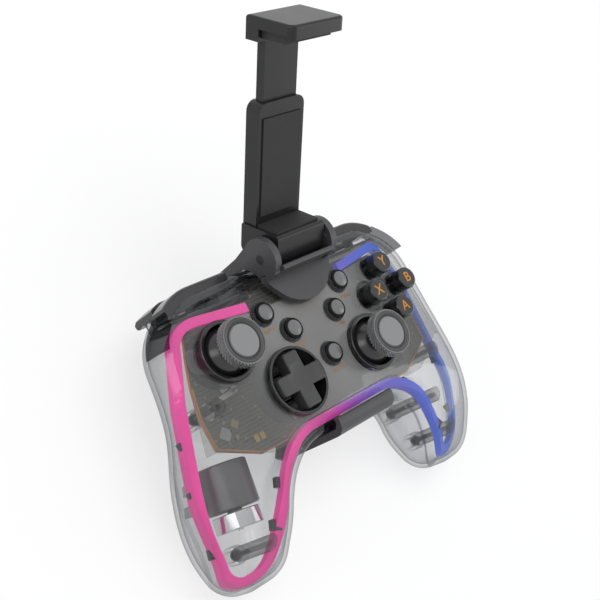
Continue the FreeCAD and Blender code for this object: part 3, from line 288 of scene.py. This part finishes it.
# Main board. Fibreglass board with a dark grey-green mask, a net of faint copper tracks, small bright
# dots of solder, and bare orange-gold edges.
board, n, link, shader = new_finish("board")
shader.inputs["Roughness"].default_value = 0.38
spot, tracks, dots = n.new("ShaderNodeTexCoord"), n.new("ShaderNodeTexBrick"), n.new("ShaderNodeTexVoronoi")
for label, value in (("Scale", 160), ("Mortar Size", 0.05), ("Brick Width", 1.3)):
    tracks.inputs[label].default_value = value
for label, colour in (("Color1", (0.105, 0.112, 0.098)), ("Color2", (0.13, 0.137, 0.12)),
                      ("Mortar", (0.20, 0.19, 0.13))):
    tracks.inputs[label].default_value = (*colour, 1)
dots.inputs["Scale"].default_value = 260
near, mix, bump = n.new("ShaderNodeMath"), n.new("ShaderNodeMix"), n.new("ShaderNodeBump")
near.operation = "LESS_THAN"
near.inputs[1].default_value = 0.12
mix.data_type = "RGBA"
mix.inputs["B"].default_value = (0.55, 0.46, 0.27, 1)
bump.inputs["Distance"].default_value = 0.0001
bump.inputs["Strength"].default_value = 0.5
flat, edge_mix = n.new("ShaderNodeSeparateXYZ"), n.new("ShaderNodeMix")
upright, side_on = n.new("ShaderNodeMath"), n.new("ShaderNodeMath")
upright.operation, side_on.operation = "ABSOLUTE", "LESS_THAN"
side_on.inputs[1].default_value = 0.5
edge_mix.data_type = "RGBA"
edge_mix.inputs["B"].default_value = (0.62, 0.25, 0.06, 1)
link(spot.outputs["Object"], tracks.inputs["Vector"])
link(spot.outputs["Object"], dots.inputs["Vector"])
link(spot.outputs["Normal"], flat.inputs["Vector"])
link(flat.outputs["Z"], upright.inputs[0])
link(upright.outputs[0], side_on.inputs[0])
link(dots.outputs["Distance"], near.inputs[0])
link(near.outputs[0], mix.inputs["Factor"])
link(tracks.outputs["Color"], mix.inputs["A"])
link(mix.outputs["Result"], edge_mix.inputs["A"])
link(side_on.outputs[0], edge_mix.inputs["Factor"])
link(edge_mix.outputs["Result"], shader.inputs["Base Color"])
link(tracks.outputs["Fac"], bump.inputs["Height"])
link(bump.outputs["Normal"], shader.inputs["Normal"])
give(board, "main_board")

# Gold line round the board's lower corners: a plated strip just inside the board's edge, standing a
# little proud of the mask.
GOLD_LINE_POINTS = [(25.5, -20.1), (31.9, -22.5), (44.8, -22.3), (63.4, -13.2), (63.7, -0.5), (61.0, 11.4)]
GOLD_LINE_HEIGHT = -12.9
GOLD_LINE_RADIUS = 0.00034


def drawn_mesh(name, curve):
    """A curve or a text, turned into a mesh."""
    drawn = bpy.data.objects.new(name, curve)
    bpy.context.scene.collection.objects.link(drawn)
    bpy.context.view_layer.update()
    mesh = bpy.data.meshes.new_from_object(drawn)
    bpy.data.objects.remove(drawn)
    return mesh


curve = bpy.data.curves.new("board_gold_edge", "CURVE")
curve.dimensions = "3D"
curve.bevel_depth = GOLD_LINE_RADIUS
curve.bevel_resolution = 2
for side in (1, -1):
    run = curve.splines.new("POLY")
    run.points.add(len(GOLD_LINE_POINTS) - 1)
    for corner, (x, y) in zip(run.points, GOLD_LINE_POINTS):
        corner.co = (*from_face(side * x, y, GOLD_LINE_HEIGHT), 1)
piece_of("board_gold_edge", drawn_mesh("board_gold_edge_line", curve), "gamepad",
         opaque("gold_edge", (0.80, 0.36, 0.09), 0.3, metal=0.3))

# Parts on the board. Black packages, a silver chip set on its corner with its small neighbours, and two
# gold contact pads with fine teeth on the left.
chips, n, link, shader = new_finish("chips")
shader.inputs["Roughness"].default_value = 0.35
spot, split = n.new("ShaderNodeTexCoord"), n.new("ShaderNodeSeparateXYZ")
teeth, shade = n.new("ShaderNodeTexChecker"), n.new("ShaderNodeMix")
link(spot.outputs["Object"], split.inputs["Vector"])


def within_box(n, link, split, low, high):
    """1 inside a box given in face millimetres, 0 outside it."""
    total = None
    for axis, least, most in zip("XYZ", from_face(*low), from_face(*high)):
        inside = n.new("ShaderNodeMath")
        inside.operation = "COMPARE"
        inside.inputs[1].default_value = (least + most) / 2
        inside.inputs[2].default_value = (most - least) / 2
        link(split.outputs[axis], inside.inputs[0])
        if total is None:
            total = inside.outputs[0]
            continue
        product = n.new("ShaderNodeMath")
        product.operation = "MULTIPLY"
        link(total, product.inputs[0])
        link(inside.outputs[0], product.inputs[1])
        total = product.outputs[0]
    return total


coloured = None
for colour, low, high in (((0.85, 0.62, 0.16), (-47, -18.5, -13.2), (-39, -14.4, -12.8)),
                          ((0.55, 0.55, 0.58), (-62.5, -14, -13.2), (-55, -3.5, -11.5)),
                          ((0.50, 0.42, 0.22), (-53.9, -14, -13.2), (-49, -3.5, -12))):
    mix = n.new("ShaderNodeMix")
    mix.data_type = "RGBA"
    mix.inputs["B"].default_value = (*colour, 1)
    link(within_box(n, link, split, low, high), mix.inputs["Factor"])
    if coloured is None:
        mix.inputs["A"].default_value = (0.035, 0.035, 0.037, 1)
    else:
        link(coloured, mix.inputs["A"])
    coloured = mix.outputs["Result"]
teeth.inputs["Scale"].default_value = 1400
shade.data_type, shade.blend_type = "RGBA", "MULTIPLY"
shade.inputs["Factor"].default_value = 0.25
link(spot.outputs["Object"], teeth.inputs["Vector"])
link(coloured, shade.inputs["A"])
link(teeth.outputs["Color"], shade.inputs["B"])
link(shade.outputs["Result"], shader.inputs["Base Color"])
give(chips, "board_parts")

# Orange capacitors. Three moulded blocks on the board, just in front of the holder's tongue.
CAPACITOR_WIDTH, CAPACITOR_THICKNESS = 0.0022, 0.0016
blocks = bmesh.new()
for x, y, length in ((4.8, 23.6, 0.0032), (10.0, 22.3, 0.0036), (15.2, 21.0, 0.0026)):
    rounded_block(blocks, (length, CAPACITOR_WIDTH, CAPACITOR_THICKNESS), turned(x, y, -12.1, -14), 0.0002)
piece_from("orange_capacitors", blocks, "gamepad", opaque("capacitor_orange", (0.95, 0.30, 0.02), 0.35))

# Painted glints. Small flat white blocks on the board beside the left stick's housing are painted highlights,
# white glints given as solid blocks: a long one with a short one across its end, and two short ones beside
# it.
GLINT_THICKNESS = 0.0004
glint_blocks = bmesh.new()
for x, y, length, width, turn in ((-47.4, 3.6, 0.0098, 0.0020, 5), (-44.2, 4.6, 0.0036, 0.0022, 40),
                                  (-48.1, 6.1, 0.0038, 0.0018, 15), (-49.7, 8.2, 0.0014, 0.0008, 80)):
    rounded_block(glint_blocks, (length, width, GLINT_THICKNESS), turned(x, y, -12.6, turn), 0.00015)
piece_from("painted_glints", glint_blocks, "gamepad", opaque("glint_white", (0.95, 0.95, 0.95), 0.5, depth=0.1))

# Motor, shaft and eccentric weight. The can is dark drawn steel, the weight and the shaft are bright
# polished metal.
give(opaque("motor_steel", (0.12, 0.12, 0.122), 0.34, depth=0.1, scale=900, metal=0.35), "rumble_motor")
give(opaque("weight_steel", (0.62, 0.62, 0.63), 0.14, depth=0.1, scale=700, metal=0.95),
     "motor_weight", "motor_shaft")

# Battery under the board: a foil pouch on a foam pad.
give(opaque("battery_foil", (0.20, 0.205, 0.215), 0.35, depth=0.5, scale=220, metal=0.35), "battery")
give(opaque("foam", (0.03, 0.03, 0.03), 0.85, depth=0.9, scale=900), "battery_pad")

# Wells. Glossy black moulded cups round the sticks and the cross pad. The rings that the small buttons
# slide in are a dull deep black.
give(opaque("black_gloss", (0.014, 0.014, 0.015), 0.16, depth=0.04, drift=0.08, coat=0.3),
     "stick_wells", "cross_pad_well")
give(opaque("ring_black", (0.004, 0.004, 0.004), 0.5, depth=0.1, spec=0.15), "button_rings")

# Stick mechanisms under the caps: pressed steel housings, dark plastic rings and stems.
give(opaque("inner_steel", (0.30, 0.30, 0.32), 0.3, depth=0.1, metal=0.8), "stick_housings")
give(opaque("inner_plastic", (0.05, 0.05, 0.055), 0.45), "cross_pad_gimbal",
     *[f"{side}_stick_{inner}" for side in ("left", "right") for inner in ("carrier", "yoke", "stem")])

# Stick caps. Black rubber moulded over a plastic dome: glossy sides, a rim round a black groove, a dull paler
# disc on top, and slanted teeth all round the rim for grip. The rim's top face is painted grey, and the teeth
# and their hoops are a lighter grey than the rubber: painted highlights on the same black rubber.
RIM_RADIUS, GROOVE_RADIUS, DISC_RADIUS = 0.0092, 0.0073, 0.0066
TOP_THICKNESS = 0.0012
TEETH = 42
TOOTH_SIZE = (0.0012, 0.00085, 0.0056)
TOOTH_REACH, TOOTH_DROP, TOOTH_LEAN = 0.0091, 0.0027, 46
HOOPS = ((-0.0009, 0.0089), (-0.0043, 0.0088))
HOOP_FLARE, HOOP_THICKNESS = 1.065, 0.0005


def stick_rubber(name, middle):
    """Black rubber, with the rim, the groove and the disc coloured by their distance from the middle; the
    rim's grey is a painted highlight.
    """
    made, n, link, shader = new_finish(name)
    shader.inputs["Specular IOR Level"].default_value = 0.6
    spot, moved = n.new("ShaderNodeTexCoord"), n.new("ShaderNodeMapping")
    split, flat = n.new("ShaderNodeSeparateXYZ"), n.new("ShaderNodeCombineXYZ")
    reach, inside = n.new("ShaderNodeVectorMath"), n.new("ShaderNodeMath")
    high, mask = n.new("ShaderNodeMath"), n.new("ShaderNodeMath")
    moved.inputs["Location"].default_value = (-middle.x, -middle.y, 0)
    reach.operation, inside.operation = "LENGTH", "LESS_THAN"
    inside.inputs[1].default_value = RIM_RADIUS
    high.operation, mask.operation = "GREATER_THAN", "MULTIPLY"
    high.inputs[1].default_value = middle.z - TOP_THICKNESS
    link(spot.outputs["Object"], moved.inputs["Vector"])
    link(moved.outputs["Vector"], split.inputs["Vector"])
    link(split.outputs["X"], flat.inputs["X"])
    link(split.outputs["Y"], flat.inputs["Y"])
    link(flat.outputs["Vector"], reach.inputs[0])
    link(reach.outputs["Value"], inside.inputs[0])
    link(split.outputs["Z"], high.inputs[0])
    link(inside.outputs[0], mask.inputs[0])
    link(high.outputs[0], mask.inputs[1])
    outward, rings = n.new("ShaderNodeMath"), n.new("ShaderNodeValToRGB")
    outward.operation = "DIVIDE"
    outward.inputs[1].default_value = RIM_RADIUS
    rings.color_ramp.interpolation = "CONSTANT"
    bands = rings.color_ramp.elements
    bands[0].color = (0.21, 0.21, 0.21, 1)
    # The rim band's grey is a painted highlight on the black rubber.
    bands[1].color = (0.075, 0.075, 0.076, 1)
    bands[1].position = GROOVE_RADIUS / RIM_RADIUS
    bands.new(DISC_RADIUS / RIM_RADIUS).color = (0.012, 0.012, 0.012, 1)
    link(reach.outputs["Value"], outward.inputs[0])
    link(outward.outputs[0], rings.inputs["Fac"])
    colour, gloss = n.new("ShaderNodeMix"), n.new("ShaderNodeMapRange")
    colour.data_type = "RGBA"
    colour.inputs["A"].default_value = (0.017, 0.017, 0.018, 1)
    gloss.inputs["To Min"].default_value = 0.24
    gloss.inputs["To Max"].default_value = 0.55
    link(rings.outputs["Color"], colour.inputs["B"])
    link(mask.outputs[0], colour.inputs["Factor"])
    link(mask.outputs[0], gloss.inputs["Value"])
    link(colour.outputs["Result"], shader.inputs["Base Color"])
    add_grain(n, link, shader, 1800, 0.25, 0.3, 0.1)
    link(gloss.outputs["Result"], shader.inputs["Roughness"])
    return made


def add_hoop(shape, middle, height, radius):
    """A flat flared ring round the cap's rim."""
    hoop = bmesh.ops.create_circle(shape, segments=96, radius=radius,
                                   matrix=Matrix.Translation(middle + Vector((0, 0, height))))
    lines = list({line for corner in hoop["verts"] for line in corner.link_edges})
    raised = bmesh.ops.extrude_edge_only(shape, edges=lines)
    outer = [part for part in raised["geom"] if isinstance(part, bmesh.types.BMVert)]
    bmesh.ops.scale(shape, vec=(HOOP_FLARE, HOOP_FLARE, 1), verts=outer, space=Matrix.Translation(-middle))
    faces = [part for part in raised["geom"] if isinstance(part, bmesh.types.BMFace)]
    bmesh.ops.solidify(shape, geom=faces, thickness=HOOP_THICKNESS)


# The teeth and hoops are a lighter grey than the cap's rubber: a painted highlight.
knurl_highlight_grey = opaque("knurl_highlight_grey", (0.14, 0.14, 0.141), 0.22, depth=0.1, spec=0.7)
for side in ("left", "right"):
    low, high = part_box(side + "_stick_cap")
    middle = Vector(((low[0] + high[0]) / 2, (low[1] + high[1]) / 2, high[2]))
    give(stick_rubber(side + "_stick_rubber", middle), side + "_stick_cap")
    rim = bmesh.new()
    lean = Matrix.Rotation(math.radians(TOOTH_LEAN), 4, "X")
    where = Matrix.Translation(middle + Vector((TOOTH_REACH, 0, -TOOTH_DROP))) @ lean
    rounded_block(rim, TOOTH_SIZE, where, 0.0002)
    bmesh.ops.spin(rim, geom=rim.verts[:] + rim.edges[:] + rim.faces[:], cent=middle, axis=(0, 0, 1),
                   angle=2 * math.pi * (TEETH - 1) / TEETH, steps=TEETH - 1, use_duplicate=True)
    for height, radius in HOOPS:
        add_hoop(rim, middle, height, radius)
    piece_from(side + "_stick_knurl", rim, side + "_stick", knurl_highlight_grey)

# Cross pad: satin black plastic with a dished middle.
give(opaque("cross_satin", (0.045, 0.045, 0.046), 0.4, depth=0.25, spec=0.4), "cross_pad")

# Face buttons: black caps, clear-coated, each with its letter printed in amber on top.
LETTER_SIZE = 0.0062
PRINT_THICKNESS = 0.00006
give(opaque("button_gloss", (0.014, 0.014, 0.015), 0.18, depth=0.05, coat=0.3),
     *["button_" + letter for letter in "abxy"])
orange, n, link, shader = new_finish("orange_print")
shader.inputs["Roughness"].default_value = 0.4
spot, wear, worn = n.new("ShaderNodeTexCoord"), n.new("ShaderNodeTexNoise"), n.new("ShaderNodeMix")
wear.inputs["Scale"].default_value = 900
worn.data_type = "RGBA"
worn.inputs["A"].default_value = (0.44, 0.17, 0.015, 1)
worn.inputs["B"].default_value = (0.56, 0.25, 0.025, 1)
link(spot.outputs["Object"], wear.inputs["Vector"])
link(wear.outputs["Fac"], worn.inputs["Factor"])
link(worn.outputs["Result"], shader.inputs["Base Color"])


def print_words(name, words, size, middle, body):
    """Words or a letter as raised print, lying flat with their middle at a point."""
    curve = bpy.data.curves.new(name, "FONT")
    curve.body = words
    curve.size = size
    curve.extrude = PRINT_THICKNESS / 2
    curve.offset = size * 0.008
    curve.align_x = curve.align_y = "CENTER"
    mesh = drawn_mesh(name + "_text", curve)
    mesh.transform(Matrix.Translation(middle))
    piece_of(name, mesh, body, orange)


for letter in "abxy":
    low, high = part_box("button_" + letter)
    middle = Vector(((low[0] + high[0]) / 2, (low[1] + high[1]) / 2, high[2] + PRINT_THICKNESS / 3))
    print_words("letter_" + letter, letter.upper(), LETTER_SIZE, middle, "button_" + letter + "_key")

# Small buttons: grey domed caps. The name of each is printed in small orange letters on the underside of
# the clear face, which falls away to both sides.
FACE_UNDERSIDE = -2.03
CROWN_DROP, CROWN_REACH = 2.0, 48
give(opaque("small_cap", (0.125, 0.125, 0.127), 0.3, depth=0.08, coat=0.35),
     *[name + "_button" for name in ("minus", "plus", "capture", "home", "turbo")])
for words, x, y, size in (("SELECT", -22.4, 18.3, 2.2), ("START", 22.4, 18.3, 2.2),
                          ("CLEAR", -11.4, 8.3, 2.1), ("HOME", 13.0, 8.5, 2.2), ("TURBO", 0.0, -7.3, 2.4)):
    crown = CROWN_DROP * (x / CROWN_REACH) ** 2
    middle = from_face(x, y, FACE_UNDERSIDE - crown)
    print_words("print_" + words.lower(), words, size / 1000, middle, "gamepad")

# Keypad membranes under the caps: pale silicone rubber.
give(opaque("membrane", (0.45, 0.45, 0.44), 0.6), "keypad_membranes")

# Bumpers, triggers and their frames: black plastic, polished where fingers rest.
give(opaque("shoulder_gloss", (0.020, 0.020, 0.022), 0.24, depth=0.1, drift=0.1, coat=0.2),
     "left_bumper", "right_bumper", "left_trigger", "right_trigger")
give(opaque("black_matte", (0.030, 0.030, 0.032), 0.42, depth=0.4), "shoulder_frames")

# Small metal: ground pins, the pressed charging socket, springs and black-plated screws.
give(opaque("pin_steel", (0.45, 0.45, 0.47), 0.28, depth=0.05, metal=1.0),
     "shoulder_pins", "charging_socket")
give(opaque("spring_steel", (0.45, 0.45, 0.47), 0.3, depth=0.05, metal=1.0),
     "trigger_springs", "clamp_spring")
give(opaque("screw_steel", (0.12, 0.12, 0.125), 0.32, depth=0.1, metal=0.9), "shell_screws")
give(opaque("pin_black", (0.028, 0.028, 0.03), 0.36, depth=0.1, metal=0.4), "hinge_pin")

# Holder. Its tongue, arms, back and hook are satin black plastic with a fine grain, coloured a paler black
# than
# the clamp: their sheen is painted into the colour. The friction washers are a smoother, darker plastic.
give(opaque("holder_satin_sheen", (0.046, 0.046, 0.048), 0.42, depth=0.45, scale=1500, drift=0.1),
     "holder_tongue", "holder_arms", "holder_back", "holder_hook")
give(opaque("washer_plastic", (0.030, 0.030, 0.034), 0.3, depth=0.1), "friction_washers")

# Clamp. Body and jaw are a smoother, deeper black, with soft rubber where the clamp grips.
give(opaque("clamp_black", (0.014, 0.014, 0.015), 0.3, depth=0.3, scale=1500, drift=0.1, spec=0.32),
     "clamp_body", "clamp_jaw")
give(opaque("pad_rubber", (0.014, 0.014, 0.014), 0.7, depth=0.7, scale=800),
     "clamp_pads", "jaw_pad", "heel_pads")

# Room: a plain pale floor that keeps the object's shadow, soft lamps and an even surround. Seen by the
# camera, in a mirror or through clear plastic, the surround is white and the floor mostly so.
FLOOR_WHITE_SHARE = 0.7


def seen_directly(n, link):
    """1 for a ray that shows the room itself, 0 for one that only carries its light to the object."""
    path, first, either = n.new("ShaderNodeLightPath"), n.new("ShaderNodeMath"), n.new("ShaderNodeMath")
    first.operation = either.operation = "MAXIMUM"
    link(path.outputs["Is Camera Ray"], first.inputs[0])
    link(path.outputs["Is Glossy Ray"], first.inputs[1])
    link(first.outputs[0], either.inputs[0])
    link(path.outputs["Is Transmission Ray"], either.inputs[1])
    return either.outputs[0]


bpy.ops.mesh.primitive_plane_add(size=6, location=(0, 0, -0.0004))
floor = bpy.context.object
floor.name = "floor"
pale, n, link, shader = new_finish("pale_floor")
shader.inputs["Base Color"].default_value = (0.96, 0.96, 0.962, 1)
shader.inputs["Roughness"].default_value = 0.85
shader.inputs["Specular IOR Level"].default_value = 0.1
share, white, both = n.new("ShaderNodeMath"), n.new("ShaderNodeEmission"), n.new("ShaderNodeMixShader")
share.operation = "MULTIPLY"
share.inputs[1].default_value = FLOOR_WHITE_SHARE
link(seen_directly(n, link), share.inputs[0])
link(share.outputs[0], both.inputs["Fac"])
link(shader.outputs[0], both.inputs[1])
link(white.outputs[0], both.inputs[2])
link(both.outputs[0], n["Material Output"].inputs["Surface"])
floor.data.materials.append(pale)


def lamp(name, power, width, depth, where, mirrored=True):
    """A soft rectangular lamp that faces the pad."""
    data = bpy.data.lights.new(name, "AREA")
    data.energy, data.shape = power, "RECTANGLE"
    data.size, data.size_y = width, depth
    light = bpy.data.objects.new(name, data)
    light.location = where
    light.rotation_euler = (Vector((0, 0, 0.03)) - Vector(where)).to_track_quat("-Z", "Y").to_euler()
    light.visible_glossy = mirrored
    bpy.context.scene.collection.objects.link(light)


lamp("overhead", 8.0, 1.2, 0.8, (0.1, 0.25, 1.15), mirrored=False)
lamp("left_window", 3.0, 0.5, 0.9, (-0.95, 0.35, 0.6))
lamp("right_fill", 1.6, 0.4, 0.8, (0.9, -0.4, 0.5))

world = bpy.data.worlds.new("surround")
bpy.context.scene.world = world
world.use_nodes = True
n, link = world.node_tree.nodes, world.node_tree.links.new
shown = n.new("ShaderNodeMix")
shown.data_type = "RGBA"
shown.inputs["A"].default_value = (0.47, 0.48, 0.50, 1)
shown.inputs["B"].default_value = (1, 1, 1, 1)
link(seen_directly(n, link), shown.inputs["Factor"])
link(shown.outputs["Result"], n["Background"].inputs["Color"])

# Camera, at the photo's distance and angle.
eye = bpy.data.cameras.new("camera")
eye.sensor_width, eye.lens = 36, 68.03
eye.clip_start, eye.clip_end = 0.01, 20
eye.dof.use_dof = False
camera = bpy.data.objects.new("camera", eye)
right = Vector((0.67647826, -0.46772474, 0.56886793))
up = Vector((0.30612238, 0.88112322, 0.36043163))
backward = Vector((-0.66982554, -0.06968096, 0.73924171))
where = from_face(-309.424345, -7.730342, 338.097335)
camera.matrix_world = Matrix(((right.x, up.x, backward.x, where.x), (right.y, up.y, backward.y, where.y),
                              (right.z, up.z, backward.z, where.z), (0, 0, 0, 1)))
bpy.context.scene.collection.objects.link(camera)
bpy.context.scene.camera = camera
bpy.context.scene.view_settings.view_transform = "Standard"
